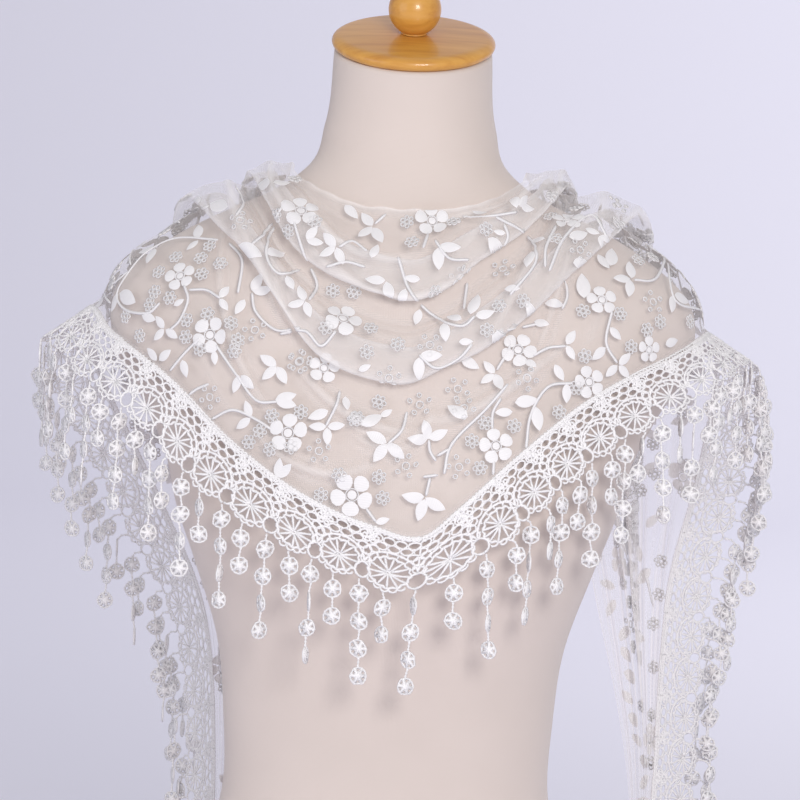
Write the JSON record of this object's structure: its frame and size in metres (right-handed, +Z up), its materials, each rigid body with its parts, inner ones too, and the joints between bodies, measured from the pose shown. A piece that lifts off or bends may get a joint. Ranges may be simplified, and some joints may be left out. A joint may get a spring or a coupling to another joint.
{
  "type": "lace shawl on dress form",
  "caption": "Triangular embroidered net shawl with a lace border and disc fringe, worn point to the front on a limbless dress form.",
  "frame": {"origin": "middle of the dress form's flat underside, on the surface it stands on", "axes": "+Z up, -Y the front of the shawl, +X to the right seen from the front"},
  "size_m": [0.5072, 0.2936, 0.7834],
  "materials": {
    "form_cover": "matt cream linen cover",
    "cap_wood": "glossy honey varnish",
    "net": "sheer white net with a soft sheen",
    "lace": "white corded lace",
    "fringe_thread": "white twisted thread"
  },
  "bodies": {
    "root": {"dress_form_torso": "form_cover", "dress_form_neck_cap": "cap_wood", "dress_form_knob": "cap_wood", "shawl_front": "net", "shawl_end_left": "net", "shawl_end_right": "net", "lace_border_front_left": "lace", "lace_border_front_right": "lace", "lace_border_end_left": "lace", "lace_border_end_right": "lace", "fringe_front_left": "fringe_thread", "fringe_front_right": "fringe_thread", "fringe_end_left": "fringe_thread", "fringe_end_right": "fringe_thread"}
  },
  "joints": []
}
